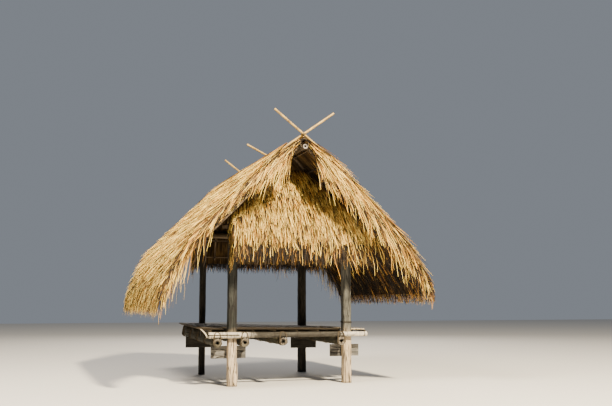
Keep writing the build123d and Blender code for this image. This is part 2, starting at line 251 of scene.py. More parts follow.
def old_timber(name, along, dark, middle, pale, painted_light=None):
    """Weathered wood: fibres and open splits along one axis, stains, and paler painted sunlight low down."""
    finish = Finish(name)
    grain = grain_place(finish, along, 14)
    fibre = finish.noise(grain, 95, 5, 0.6)
    streak = finish.noise(grain, 22, 3, 0.5, 0.4)
    stain = finish.noise(finish.place, 4.5, 4, 0.6)
    split = 1 - finish.step(abs(finish.noise(grain, 15, 2, 0.4, 0.3) - 0.5), 0.004, 0.028)
    cut = finish.add("ShaderNodeAttribute", {"attribute_name": "crack"}, {}, "Fac")
    split = finish.maths("MAXIMUM", split, finish.step(cut, 0.35, 0.9))
    tone = (fibre * 0.35 + streak * 0.4 + stain * 0.35).clamped()
    colour = finish.ramp(tone, (0.36, dark), (0.52, middle), (0.72, pale))
    if painted_light:
        low, high, lit_middle, lit_pale = painted_light
        # The zone low down is painted sunlight: the colour turns paler and warmer there.
        lit_share = 1 - finish.step(finish.place.part(2) + (stain - 0.5) * 0.3, low, high)
        lit_colour = finish.ramp(tone, (0.34, middle), (0.48, lit_middle), (0.64, lit_pale))
        colour = finish.blend(lit_share, colour, lit_colour)
    colour = finish.blend(split * 0.85, colour, (0.012, 0.010, 0.009, 1))
    return finish.complete(colour, 0.88, fibre * 0.4 + streak * 0.5 - split * 1.5, 0.006)


def dress(material, *names):
    """Gives some of the solids their material."""
    for name in names:
        for slot in nodes[name].material_slots:
            slot.material = material


def merged_form(node):
    """The shape of a solid with its doubled points merged, ready to be worked on."""
    form = bmesh.new()
    form.from_mesh(nodes[node].data)
    bmesh.ops.remove_doubles(form, verts=form.verts, dist=0.00005)
    return form


def shaped(name, form, finish):
    """A worked shape as an object of one material."""
    shape = bpy.data.meshes.new(name)
    form.to_mesh(shape)
    form.free()
    shape.materials.clear()
    shape.materials.append(finish)
    return placed(name, shape)


cut_spacing = (0.011, 0.011, 0.04)      # how finely a post is cut up along x, y and z
crack_width = 0.09
crack_depth, hollow_depth, corner_depth = 0.007, 0.005, 0.012
corner_start = 1.6                      # of 2, the sum of both distances from the middle at a corner
step_height = 0.35


def weathered_post(name, node, finish, seed, step_out=0.0):
    """A post cut fine enough to carry the cracks, hollows and worn corners of its faces. Its right face may
    step out near the ground."""
    form = merged_form(node)
    bmesh.ops.dissolve_limit(form, angle_limit=math.radians(1), verts=form.verts, edges=form.edges)
    low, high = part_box(node)
    for axis, spacing in enumerate(cut_spacing):
        across = Vector([float(k == axis) for k in range(3)])
        count = round((high[axis] - low[axis]) / spacing)
        for i in range(1, count):
            level = low + (high - low) * i / count
            bmesh.ops.bisect_plane(form, geom=form.verts[:] + form.edges[:] + form.faces[:],
                                   plane_co=level, plane_no=across)
    crack_layer = form.verts.layers.float.new("crack")
    middle, half = (low + high) / 2, (high - low) / 2
    for point in form.verts:
        x, y, z = point.co
        outward = Vector((x - middle.x, y - middle.y, 0))
        to_corner = abs(outward.x) / half.x + abs(outward.y) / half.y
        corner = max(0.0, to_corner - corner_start) / (2 - corner_start)
        line = noise.noise(Vector((x * 34, y * 34, z * 1.6 + seed)))
        hollow = 0.5 + 0.5 * noise.noise(Vector((x * 8, y * 8, z * 3.5 - seed)))
        nick = 0.5 + 0.5 * noise.noise(Vector((x * 5, y * 5, z * 9 + seed)))
        crack = max(0.0, 1 - abs(line) / crack_width)
        point[crack_layer] = crack
        depth = crack_depth * crack ** 2 + hollow_depth * hollow + corner_depth * corner * nick
        point.co -= outward.normalized() * depth
        if outward.x > 0.6 * half.x and z < step_height:
            point.co.x += step_out
    post = shaped(name, form, finish)
    post.data.polygons.foreach_set("use_smooth", [True] * len(post.data.polygons))
    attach(post, "root")
    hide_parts(node)


# The posts take three copies of one timber as painted light: the front left one dark as painted shade under
# the roof, the front right one lighter, and the rear ones dark as painted shade. Both front ones carry the
# painted sunlight low down.
left_timber_painted_shade = old_timber(
    "post_timber_left", 2, (0.004, 0.004, 0.004), (0.013, 0.014, 0.012), (0.040, 0.041, 0.036),
    painted_light=(0.60, 0.84, (0.35, 0.27, 0.185), (0.62, 0.49, 0.35)))
right_timber_painted_light = old_timber(
    "post_timber_right", 2, (0.012, 0.012, 0.011), (0.050, 0.049, 0.042), (0.17, 0.163, 0.138),
    painted_light=(0.66, 0.88, (0.26, 0.195, 0.125), (0.48, 0.375, 0.25)))
rear_timber_painted_shade = old_timber(
    "post_timber_rear", 2, (0.006, 0.005, 0.004), (0.018, 0.015, 0.011), (0.050, 0.043, 0.034))
weathered_post("weathered_post_front_left", "post_front_left", left_timber_painted_shade, 3.1, step_out=0.012)
weathered_post("weathered_post_front_right", "post_front_right", right_timber_painted_light, 17.4)
weathered_post("weathered_post_rear_left", "post_rear_left", rear_timber_painted_shade, 29.8)
weathered_post("weathered_post_rear_right", "post_rear_right", rear_timber_painted_shade, 41.2)

# Cleats
# Short sawn planks nailed across the inner faces of the posts. They carry the bearers of the deck and are
# grey like the posts, with the saw's end grain dark.
plank_timber = old_timber(
    "plank_timber", 0, (0.024, 0.023, 0.022), (0.085, 0.080, 0.072), (0.27, 0.25, 0.22))
# The rear cleats take a darker copy of the plank timber, as painted shade under the roof.
shaded_plank = old_timber(
    "shaded_plank", 0, (0.008, 0.007, 0.006), (0.026, 0.023, 0.018), (0.07, 0.062, 0.050))
dress(plank_timber, "cleat_front_left", "cleat_front_right")
dress(shaded_plank, "cleat_rear_left", "cleat_rear_right")


# Bearers
# Thick bamboo culms laid from front to back on the cleats. Years of rain have turned them grey-olive and
# mottled, and their skin is painted darker still as painted shade under the deck. The sawn ends are pale
# round their dark bores, and the dark of the bores is painted shade.
def end_centre(node, axis, last):
    """The middle of one end of a pole, from the corners of its mesh that lie there."""
    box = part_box(node)[last]
    ring = [corner.co for corner in nodes[node].data.vertices if abs(corner.co[axis] - box[axis]) < 0.004]
    return sum(ring, Vector()) / len(ring)


def sunlit_ends_skin(finish, colour, along, patch, mould, painted_sunlit_ends):
    """Skin painted paler beyond two places along the culm, as painted sunlight on its ends, and greyer between
    them as painted shade, with dark bands through it. The last argument gives the paler colour and the two
    places."""
    sunlit_colour, left, right = painted_sunlit_ends
    line = finish.place.part(along) + (mould - 0.5) * 0.3
    far = 1 - finish.step(line, left - 0.12, left + 0.12) + finish.step(line, right - 0.05, right + 0.05)
    colour = finish.blend((far * (0.55 + patch)).clamped(), colour, (*sunlit_colour, 1))
    run = scaled_place(finish, finish.place, along, 95.0, 8.0)
    band = finish.step(finish.noise(run, 1.0, 2, 0.5), 0.50, 0.62)
    return finish.blend(band * 0.72, colour, (0.035, 0.030, 0.022, 1))


def sawn_ends(finish, colour, along, mould, cut_ends):
    """Cut ends over the skin, round a ragged, rotten bore painted dark as painted shade inside it. cut_ends
    names the node and gives the tint of its ends and the radius of the bore."""
    node, tint, bore = cut_ends
    low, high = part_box(node)[0][along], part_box(node)[1][along]
    near, far = end_centre(node, along, 0), end_centre(node, along, 1)
    line = finish.place.part(along)
    share = (line - low) / (high - low)
    centre = finish.add("ShaderNodeMix", {"data_type": "VECTOR"}, {0: share, 4: near, 5: far}, 1)
    off_axis = finish.place.vector("SUBTRACT", centre).vector("LENGTH", out="Value")
    rot = finish.noise(finish.place, 34, 2)
    # The bore is painted dark and wider than the hole in the mesh: painted shade inside the hollow.
    hollow = 1 - finish.step(off_axis + (rot - 0.5) * bore * 2.6, bore * 0.8, bore)
    cut = ((1 - finish.step(line, low, low + 0.004)) + finish.step(line, high - 0.004, high)).clamped()
    sawn = finish.ramp(mould, (0.35, tuple(part * 0.3 for part in tint)), (0.62, tint))
    return finish.blend(cut, colour, finish.blend(hollow, sawn, (0.008, 0.006, 0.005, 1)))


def bamboo(name, along, dark, middle, pale, cut_ends=None, pitch=None, start=0.0, painted_sunlit_ends=None,
           painted_shade_front=None):
    """Bamboo skin: fine streaks and open splits along the culm, mould, and a dark line at each ring, one
    pitch apart from start. What lies in front of a given line is darkened as painted shade."""
    finish = Finish(name)
    grain = grain_place(finish, along, 18)
    fibre = finish.noise(grain, 120, 4, 0.6)
    patch = finish.noise(grain, 9, 4, 0.62, 0.5)
    mould = finish.noise(finish.place, 26, 4, 0.65)
    split = 1 - finish.step(abs(finish.noise(grain, 42, 2, 0.4, 0.3) - 0.5), 0.003, 0.020)
    tone = (fibre * 0.3 + patch * 0.5 + mould * 0.25).clamped()
    colour = finish.ramp(tone, (0.36, dark), (0.52, middle), (0.70, pale))
    colour = finish.blend(split * 0.7, colour, (0.010, 0.008, 0.006, 1))
    if painted_shade_front is not None:
        # Painted shade: everything in front of the line is darkened, along the front edge of the deck.
        front_shade = 1 - finish.step(finish.place.part(1) + (mould - 0.5) * 0.4, painted_shade_front, painted_shade_front + 0.55)
        colour = finish.blend(front_shade * 0.8, colour, (0.012, 0.008, 0.004, 1))
    if painted_sunlit_ends:
        colour = sunlit_ends_skin(finish, colour, along, patch, mould, painted_sunlit_ends)
    if pitch:
        turns = (finish.place.part(along) - start) / pitch
        off_ring = abs(turns - finish.maths("ROUND", turns)) * pitch
        ring = 1 - finish.step(off_ring, 0.004, 0.014)
        colour = finish.blend(ring * 0.65, colour, (0.02, 0.016, 0.012, 1))
    if cut_ends:
        colour = sawn_ends(finish, colour, along, mould, cut_ends)
    return finish.complete(colour, 0.62 + fibre * 0.25, fibre * 0.5 + mould * 0.6 - split, 0.003, 0.2)


bearer_names = ("bearer_outer_left", "bearer_inner_left", "bearer_middle", "bearer_right")
# The bearers' skin is painted dark as painted shade under the deck.
for node in bearer_names:
    dress(bamboo(node + "_skin", 1, (0.008, 0.007, 0.004), (0.030, 0.027, 0.015), (0.10, 0.090, 0.055),
                 cut_ends=(node, (0.19, 0.158, 0.12), 0.037)), node)

# Deck poles
# One culm along each end of the bearers and three between them, bound on top. The front one is split at
# its left end, painted paler at both ends as painted sunlight and greyer in the middle as painted shade of
# the apron and the front right post. The rear one and the joists are painted dark as painted shade.
edge_skin = bamboo(
    "edge_skin", 0, (0.008, 0.007, 0.006), (0.036, 0.032, 0.026), (0.135, 0.120, 0.095),
    pitch=0.359, start=-0.955, painted_sunlit_ends=((0.54, 0.48, 0.39), -0.60, 0.84))
dress(edge_skin, "front_edge_pole")
# The rear pole and the joists are painted dark as painted shade under the roof.
joist_skin = bamboo(
    "joist_skin", 0, (0.006, 0.005, 0.004), (0.022, 0.019, 0.014), (0.08, 0.068, 0.050),
    pitch=0.37, start=-0.9)
dress(joist_skin, "rear_edge_pole", "deck_joists")

# Peg
# A short split stick of bamboo is jammed between the left end of the front pole and the deck, and has
# bleached white.
peg_foot, peg_head = Vector((-1.230, -1.165, 0.706)), Vector((-1.335, -1.165, 0.834))
peg_width = 0.012
peg_bow = Vector((0.010, 0, 0.006))
peg_steps = 6
peg_outline = (0.0, 0.6, 1.2, 1.9, 2.5, math.pi)        # angles round the half of a split stick
form = bmesh.new()
rings = []
for i in range(peg_steps + 1):
    share = i / peg_steps
    middle = peg_foot.lerp(peg_head, share) + peg_bow * math.sin(math.pi * share)
    girth = peg_width * (1 - 0.35 * share)
    rings.append([form.verts.new(middle + girth * Vector((0.8 * math.cos(angle), -0.6 * math.sin(angle),
                                                          0.5 * math.cos(angle))))
                  for angle in peg_outline])
for lower, upper in zip(rings, rings[1:]):
    for k in range(len(peg_outline)):
        after = (k + 1) % len(peg_outline)
        form.faces.new((lower[k], lower[after], upper[after], upper[k]))
form.faces.new(rings[0])
form.faces.new(rings[-1])
bmesh.ops.recalc_face_normals(form, faces=form.faces)
peg_skin = bamboo("peg_skin", 2, (0.30, 0.25, 0.18), (0.55, 0.49, 0.38), (0.74, 0.68, 0.56))
peg = shaped("split_peg", form, peg_skin)
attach(peg, "root")

# Deck
# Thin canes run from front to back over the joists, and strips of flattened bamboo lie across them. The deck
# is dark brown, painted darker as painted shade under the roof and darkest along its front as painted shade.
# The strips are painted paler towards their right ends as painted sunlight.
cane_skin = bamboo("cane_skin", 1, (0.010, 0.007, 0.004), (0.036, 0.027, 0.017), (0.13, 0.10, 0.064))
dress(cane_skin, "floor_poles")
slat_skin = bamboo("slat_skin", 0, (0.010, 0.007, 0.004), (0.044, 0.030, 0.016), (0.21, 0.15, 0.085),
                   painted_sunlit_ends=((0.52, 0.43, 0.31), -1.6, 0.98), painted_shade_front=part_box("floor_slats")[0].y + 0.006)
dress(slat_skin, "floor_slats")

# Roof frame
# Round poles from the forest: two wall plates notched into the posts, tie beams, king posts and the ridge
# pole, with thin rafters and battens over them. Under the straw they have stayed brown, and they are painted
# darker as painted shade under the roof.
roof_browns = (0.030, 0.020, 0.012), (0.095, 0.066, 0.040), (0.21, 0.155, 0.10)
along_x, along_y, along_z = (
    old_timber("roof_pole_" + "xyz"[axis], axis, *roof_browns) for axis in range(3))
dress(along_x, "tie_beam_front", "tie_beam_rear", "gable_pole_front", "gable_pole_rear",
      "apron_battens_front", "apron_battens_rear", "rafters_left", "rafters_right")
dress(along_z, "king_post_front", "king_post_rear", "apron_studs_front", "apron_studs_rear")
dress(along_y, "battens_left", "battens_right")
for node, tint in (("wall_plate_left", (0.62, 0.56, 0.49)), ("wall_plate_right", (0.40, 0.35, 0.29)),
                   ("ridge_pole", (0.33, 0.295, 0.26))):
    dress(bamboo(node + "_skin", 1, (0.03, 0.022, 0.014), (0.10, 0.076, 0.050), (0.24, 0.195, 0.135),
                 cut_ends=(node, tint, 0.018)), node)


# Lashings
# Wherever two poles cross they are tied with split cane, wound crosswise over both of them. The strips have
# gone dark brown. A cord wound round the front right post marks where something was hung.
crossing_slack = 0.018      # poles that pass one another closer than this touch
least_turn = 0.2            # and they cross where the square of the sine between them is more than this
strip_pitch = 2.1           # from one turn to the next, in radii of the strip
winding_steps = 14
thick_pole = 0.025          # a crossing of two poles over this radius takes three turns each way


def poles_of(name):
    """The round poles of a node: the middle, direction, half length and radius of each."""
    form = merged_form(name)
    seen = set()
    poles = []
    for start in form.verts:
        if start in seen:
            continue
        seen.add(start)
        front, solid = [start], []
        while front:
            corner = front.pop()
            solid.append(corner.co[:])
            others = [edge.other_vert(corner) for edge in corner.link_edges]
            front += [other for other in others if other not in seen]
            seen.update(others)
        points = np.array(solid)
        middle = points.mean(axis=0)
        axis = np.linalg.svd(points - middle, full_matrices=False)[2][0]
        along = (points - middle) @ axis
        radius = np.median(np.linalg.norm(points - middle - np.outer(along, axis), axis=1))
        middle = middle + axis * (along.max() + along.min()) / 2
        poles.append((Vector(middle), Vector(axis), (along.max() - along.min()) / 2, float(radius)))
    form.free()
    return poles


def crossing(one, other):
    """Where two poles touch in passing: the places on their centre lines, or nothing."""
    (a, u, a_half, a_radius), (b, v, b_half, b_radius) = one, other
    square = 1 - u.dot(v) ** 2
    if square < least_turn:
        return None
    gap = b - a
    s = (gap.dot(u) - gap.dot(v) * u.dot(v)) / square
    t = (gap.dot(u) * u.dot(v) - gap.dot(v)) / square
    here, there = a + u * s, b + v * t
    reach = a_radius + b_radius + crossing_slack
    if abs(s) > a_half - a_radius / 2 or abs(t) > b_half - b_radius / 2:
        return None
    if not a_radius < (there - here).length < reach:
        return None
    return here, there


def tie(one, other, turns, strip):
    """Closed windings that run crosswise round two poles where they touch."""
    found = crossing(one, other)
    if not found:
        return []
    here, there = found
    up = (there - here).normalized()
    windings = []
    for across in (one[1] + other[1], one[1] - other[1]):
        across = (across - up * across.dot(up)).normalized()
        side = up.cross(across)
        lean = math.sqrt(max(0.25, 1 - across.dot(one[1]) ** 2))
        for turn in range(turns):
            shift = side * (turn - (turns - 1) / 2) * strip * strip_pitch
            loop = []
            for step in range(winding_steps):
                angle = 2 * math.pi * step / winding_steps
                out, off = -math.cos(angle), math.sin(angle)
                centre, radius = (there, other[3]) if out > 0 else (here, one[3])
                radius += strip
                loop.append(centre + shift + up * out * radius + across * off * radius / lean)
            windings.append(loop)
    return windings


def new_tree(name, inputs, output):
    """A tree of Geometry Nodes with named inputs and one output. Gives its graph and a function that finds
    an input by its name."""
    tree = bpy.data.node_groups.new(name, "GeometryNodeTree")
    for label, kind in inputs:
        tree.interface.new_socket(label, in_out="INPUT", socket_type="NodeSocket" + kind)
    tree.interface.new_socket(output, in_out="OUTPUT", socket_type="NodeSocketGeometry")
    graph = Graph(tree)
    return graph, graph.add("NodeGroupInput", {}, {}).beside


def made_by(tree, mesh, values):
    """The plain mesh that a tree makes of another one, with its named inputs set."""
    host = placed("host", mesh)
    layer = host.modifiers.new("layer", "NODES")
    layer.node_group = tree
    for item in tree.interface.items_tree:
        if item.in_out == "INPUT" and item.name in values:
            layer[item.identifier] = values[item.name]
    made = bpy.data.meshes.new_from_object(host.evaluated_get(bpy.context.evaluated_depsgraph_get()))
    bpy.data.objects.remove(host)
    return made


def winding_tree():
    """Lays a round strip along every closed winding of a wire mesh."""
    graph, given = new_tree(
        "winding", (("Windings", "Geometry"), ("Thickness", "Float"), ("Finish", "Material")), "Strips")
    path = graph.add("GeometryNodeMeshToCurve", {}, {"Mesh": given("Windings")})
    round_strip = graph.add("GeometryNodeCurvePrimitiveCircle", {}, {
        "Resolution": 5, "Radius": given("Thickness")})
    strips = graph.add("GeometryNodeCurveToMesh", {}, {"Curve": path, "Profile Curve": round_strip})
    strips = graph.add("GeometryNodeRealizeInstances", {}, {"Geometry": strips})
    strips = graph.add("GeometryNodeSetMaterial", {}, {
        "Geometry": strips, "Material": given("Finish")})
    graph.add("NodeGroupOutput", {}, {"Strips": strips})
    return graph.tree


winding = winding_tree()


def wind(name, windings, thickness, finish):
    """One piece from closed windings, which rides on the hut."""
    wire = bpy.data.meshes.new(name)
    points, edges = [], []
    for loop in windings:
        first = len(points)
        points += loop
        edges += [(first + i, first + (i + 1) % len(loop)) for i in range(len(loop))]
    wire.from_pydata(points, edges, [])
    piece = placed(name, made_by(winding, wire, {"Thickness": thickness, "Finish": finish}))
    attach(piece, "root")


def strand_finish(name, scale, detail, stops, roughness, depth):
    """The fine fibres of cane strips or of a cord."""
    finish = Finish(name)
    strand = finish.noise(finish.place, scale, detail)
    return finish.complete(finish.ramp(strand, *stops), roughness, strand, depth)


cane_binding = strand_finish(
    "cane_binding", 160, 3, ((0.35, (0.018, 0.013, 0.008)), (0.55, (0.060, 0.044, 0.026)),
                             (0.75, (0.16, 0.12, 0.07))), 0.8, 0.002)

deck_poles = bearer_names + ("front_edge_pole", "rear_edge_pole", "deck_joists")
roof_poles = ("wall_plate_left", "wall_plate_right", "tie_beam_front", "tie_beam_rear", "king_post_front",
              "king_post_rear", "ridge_pole", "rafters_left", "rafters_right", "gable_pole_front",
              "gable_pole_rear", "apron_studs_front", "apron_studs_rear", "apron_battens_front",
              "apron_battens_rear", "battens_left", "battens_right")
ridge_pins = tuple(name for name in nodes if name.startswith("crossed_pole"))
for label, names, strip in (("deck", deck_poles, 0.004), ("roof", roof_poles, 0.003),
                            ("ridge", ridge_pins, 0.003)):
    poles = [(name, pole) for name in names for pole in poles_of(name)]
    windings = []
    for i, (name, pole) in enumerate(poles):
        for other_name, other in poles[i + 1:]:
            if other_name != name:
                turns = 3 if min(pole[3], other[3]) > thick_pole else 2
                windings += tie(pole, other, turns, strip)
    wind(label + "_lashings", windings, strip, cane_binding)

ridge_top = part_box("ridge_pole")[1]
knot_start, knot_pitch = 0.115, 0.014       # of the turns, from the ends of the ridge pole
knot_half_width, knot_half_height = 0.060, 0.078
knot_turns, knot_steps = 6, 18
knots = []
for end in (-1, 1):
    for turn in range(knot_turns):
        y = end * (ridge_top.y - knot_start + knot_pitch * turn)
        middle = Vector((0.012 * noise.noise(Vector((0, 0, turn * 1.7))), y, ridge_top.z + 0.012))
        loop = []
        for step in range(knot_steps):
            angle = 2 * math.pi * step / knot_steps
            loop.append(middle + Vector((knot_half_width * math.sin(angle), 0.004 * math.sin(step + turn),
                                         knot_half_height * math.cos(angle))))
        knots.append(loop)
wind("ridge_knots", knots, 0.008, cane_binding)

cord_height = 0.911
cord_pitch, cord_radius = 0.008, 0.0045
cord_tilt = 0.003           # half of how much lower it lies at the front than at the back
cord_steps = 6              # along each side of the post


def ring_round(node, height):
    """A closed turn round a square post, a little lower at its front."""
    low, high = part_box(node)
    front, back = height - cord_tilt, height + cord_tilt
    edges = [Vector((low.x, low.y, front)), Vector((high.x, low.y, front)),
             Vector((high.x, high.y, back)), Vector((low.x, high.y, back))]
    return [start.lerp(end, (step + 0.5) / cord_steps)
            for start, end in zip(edges, edges[1:] + edges[:1]) for step in range(cord_steps)]


old_cord = strand_finish(
    "cord", 300, 2, ((0.35, (0.008, 0.007, 0.006)), (0.70, (0.050, 0.042, 0.032))), 0.85, 0.001)
wind("post_lashing", [ring_round("post_front_right", cord_height + cord_pitch * turn) for turn in range(3)],
     cord_radius, old_cord)


# Straw slopes
# Both slopes are laid with long grass, its stalks running down the roof in overlapping layers. The outside
# is bleached tan and gold, and the underside, which shows between the battens, is painted dark brown as
# painted shade under the roof.
def straw_stalk_finish():
    """Dry grass stalks. Their own map holds the tone of a stalk across and the way from root to tip up."""
    finish = Finish("straw_stalks")
    own = finish.add("ShaderNodeUVMap", {"uv_map": "OFBake"}, {})
    tone = own.part(0)
    upward = own.part(1)
    colour = finish.ramp(
        tone, (0.0, (0.010, 0.006, 0.003)), (0.26, (0.070, 0.040, 0.013)), (0.44, (0.42, 0.20, 0.034)),
        (0.62, (0.90, 0.47, 0.062)), (1.0, (1.0, 0.76, 0.20)))
    # The stalks are painted darker towards their roots, as painted shade of the stalks that lie over them.
    shade = finish.ramp(upward, (0.0, (0.10, 0.07, 0.05)), (0.5, (0.50, 0.44, 0.38)),
                        (0.9, (1.0, 1.0, 1.0)))
    return finish.complete(finish.blend(1.0, colour, shade, "MULTIPLY"), 0.72, shine=0.35)


def packed_straw_finish(name, across):
    """The dense straw that lies under the loose stalks, with its fine pattern across one axis."""
    finish = Finish(name)
    run = scaled_place(finish, finish.place, across, 60.0, 3.0)
    stalk = finish.noise(run, 1.0, 4, 0.7, 0.3)
    patch = finish.noise(finish.place, 2.2, 3, 0.6)
    tone = (stalk * 0.8 + patch * 0.3).clamped()
    # The packed straw is old and brown, and painted darker still as painted shade deep in the coat and under
    # the roof.
    colour = finish.ramp(tone, (0.42, (0.006, 0.004, 0.002)), (0.53, (0.030, 0.018, 0.007)),
                         (0.66, (0.14, 0.083, 0.027)))
    return finish.complete(colour, 0.9, stalk, 0.012, 0.15)


def corners(node):
    """The lowest and the highest corner of a solid, to the millimetre."""
    return [[round(value, 3) for value in corner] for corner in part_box(node)]


slope_top = 3.757           # |x| + z on the straight part of a slope's outside
underside = 3.587           # and on its inside
eave_bend_x = 1.43          # from here to the eave a slope bends down
eave_x, verge_y = corners("thatch_right")[1][:2]
eave_drop = {side: slope_top - eave_x - corners(node)[0][2]
             for side, node in ((-1, "thatch_left"), (1, "thatch_right"))}
straw_stalks = straw_stalk_finish()
packed_slope = packed_straw_finish("packed_slope", 1)

laying_inputs = (
    ("Bed", "Geometry"), ("Stalks per square metre", "Float"), ("Length", "Float"),
    ("Length spread", "Float"), ("Raggedness", "Float"), ("Width", "Float"), ("Tuft height", "Float"),
    ("Lift", "Float"), ("Fan", "Float"), ("Sag", "Float"), ("Curl", "Float"), ("Tuft size", "Float"),
    ("Tuft pull", "Float"), ("Paleness", "Float"), ("Openness", "Float"), ("Joints", "Int"),
    ("Seed", "Int"), ("Finish", "Material"))


def straw_laying_tree():
    """Scatters roots over a bed and grows a flat tapering stalk from each, along the bed's own lay."""
    graph, given = new_tree("straw_laying", laying_inputs, "Straw")

    def roll(low, high, salt):
        return graph.add("FunctionNodeRandomValue", {"data_type": "FLOAT"}, {
            "Min": low, "Max": high, "Seed": given("Seed") + salt}, 1)

    def eased(value, start, room):
        """A distance that grows ever more slowly past a start, as stalks that run out bend down, and how far
        past it they run."""
        size = abs(value)
        over = graph.maths("MAXIMUM", size - start, 0.0)
        near = graph.maths("MINIMUM", size, start)
        slowed = near + (1 - graph.maths("POWER", math.e, over / -room)) * room
        return slowed * graph.maths("SIGN", value), over

    def kept(geometry, domain, fields):
        """Holds the values of some fields on a geometry. Gives the geometry and the held fields."""
        held = graph.add("GeometryNodeCaptureAttribute", {"domain": domain, "fields": fields},
                         {0: geometry, **fields})
        return held, {name: held.beside(name) for name in fields}

    def named(name, kind="FLOAT"):
        return graph.add("GeometryNodeInputNamedAttribute", {"data_type": kind}, {"Name": name})

    # The roots: which way each stalk points, how long it is, how it is turned, bent and coloured. Stalks
    # whose tips end in one tuft lean together.
    lay = named("lay", "FLOAT_VECTOR")
    roots = graph.add("GeometryNodeDistributePointsOnFaces", {"distribute_method": "RANDOM"}, {
        "Mesh": given("Bed"), "Seed": given("Seed"),
        "Density": named("cover") * given("Stalks per square metre")})
    outward = roots.beside("Normal")
    place = graph.add("GeometryNodeInputPosition", {}, {})
    side = lay.vector("CROSS_PRODUCT", outward).vector("NORMALIZE")
    axis = lay.moved(side.scaled(given("Fan") * roll(-1, 1, 1)))
    axis = axis.moved(outward.scaled(given("Lift") * roll(-0.3, 1, 2))).vector("NORMALIZE")
    uneven = graph.noise(place, 10, 1) - 0.5
    reach = (given("Length") * named("long") * (1 - given("Length spread") * roll(0, 1, 3))
             * (1 + given("Raggedness") * uneven))
    turned = side.scaled(roll(0.45, 1, 4)).moved(outward.scaled(roll(-0.8, 0.8, 5))).vector("NORMALIZE")
    tip = place.moved(axis.scaled(reach))
    tuft = graph.add("ShaderNodeTexVoronoi", {}, {
        "Vector": tip, "Scale": 1 / given("Tuft size")}, "Position")
    pull = tuft.vector("SUBTRACT", tip).vector("DOT_PRODUCT", side, "Value") * given("Tuft pull")
    tuft_tone = tuft.beside("Color").part(0)
    patch = graph.noise(place, 1.3, 2)
    tone = (given("Paleness") + (roll(0, 1, 6) + roll(0, 1, 7) - 1) * 1.0
            + (tuft_tone - 0.5) * 0.7 + (patch - 0.5) * 0.35).clamped()
    fresh = graph.maths("GREATER_THAN", roll(0, 1, 11), 0.26)
    tone = tone * (0.12 + 0.88 * fresh)
    bend = given("Curl") * roll(-1, 1, 8) * reach + pull
    rise = given("Tuft height") * tuft.beside("Color").part(1)
    roots, root = kept(roots, "POINT", {
        "foot": place, "axis": axis, "side": side, "turned": turned, "reach": reach, "bend": bend,
        "tone": tone, "girth": given("Width") * roll(0.6, 1.3, 9), "rise": outward.scaled(rise),
        "phase": roll(0, 2 * math.pi, 10)})

    # One flat blade on every root.
    blade = graph.add("GeometryNodeMeshGrid", {}, {
        "Size X": 1.0, "Size Y": 1.0, "Vertices X": given("Joints") + 2, "Vertices Y": 2})
    blade, own = kept(blade, "POINT", {"way": place.part(0) + 0.5, "off": place.part(1)})
    straw = graph.add("GeometryNodeInstanceOnPoints", {}, {"Points": roots, "Instance": blade})
    straw = graph.add("GeometryNodeRealizeInstances", {}, {"Geometry": straw})

    # Each blade is laid out from its root to its tip, tapering, and past the eave and verge it bends down.
    way, off = own["way"], own["off"]
    spot = root["foot"].moved(root["axis"].scaled(root["reach"] * way))
    ripple = graph.maths("SINE", way * 5 + root["phase"])
    wave = ripple * given("Curl") * root["reach"] * way * 0.4
    spot = spot.moved(root["side"].scaled(root["bend"] * way ** 2 + wave)).moved(root["rise"].scaled(way))
    spot = spot.moved(root["turned"].scaled(root["girth"] * off * (1 - 0.86 * way)))
    across, past_eave = eased(spot.part(0), eave_x - 0.04, 0.09)
    along = eased(spot.part(1), verge_y + 0.03, 0.06)[0]
    drop = given("Sag") * root["reach"] * way ** 2 + past_eave * 0.6
    spot = graph.add("ShaderNodeCombineXYZ", {}, {0: across, 1: along, 2: spot.part(2) - drop})
    straw = graph.add("GeometryNodeSetPosition", {}, {"Geometry": straw, "Position": spot})

    # Its own map takes the tone of the stalk and the way up to its lit tip. One input spares the root some of
    # the painted shade.
    lit = given("Openness") + (1 - given("Openness")) * way
    shade_map = graph.add("ShaderNodeCombineXYZ", {}, {
        0: 0.02 + root["tone"] * 0.96 + off * 0.012, 1: 0.01 + lit * 0.98})
    straw = graph.add("GeometryNodeStoreNamedAttribute", {"data_type": "FLOAT2", "domain": "CORNER"}, {
        "Geometry": straw, "Name": "OFBake", "Value": shade_map})
    straw = graph.add("GeometryNodeSetMaterial", {}, {
        "Geometry": straw, "Material": given("Finish")})
    graph.add("NodeGroupOutput", {}, {"Straw": straw})
    return graph.tree


straw_laying = straw_laying_tree()


def bed(rows, outward):
    """A sheet that stalks root in. Each point of a row holds its place, the way its stalks lie, and how
    thickly and how long they grow there, as shares of the whole."""
    wide = len(rows[0])
    points = [point for row in rows for point in row]
    faces = [(i * wide + j, i * wide + j + 1, (i + 1) * wide + j + 1, (i + 1) * wide + j)
             for i in range(len(rows) - 1) for j in range(wide - 1)]
    sheet = bpy.data.meshes.new("bed")
    sheet.from_pydata([point[0] for point in points], [], faces)
    if sheet.polygons[len(faces) // 2].normal.dot(Vector(outward)) < 0:
        sheet.flip_normals()
    lays = sheet.attributes.new("lay", "FLOAT_VECTOR", "POINT")
    lays.data.foreach_set("vector", [part for point in points for part in Vector(point[1]).normalized()])
    for column, name in ((2, "cover"), (3, "long")):
        shares = sheet.attributes.new(name, "FLOAT", "POINT")
        shares.data.foreach_set("value", [point[column] for point in points])
    return sheet


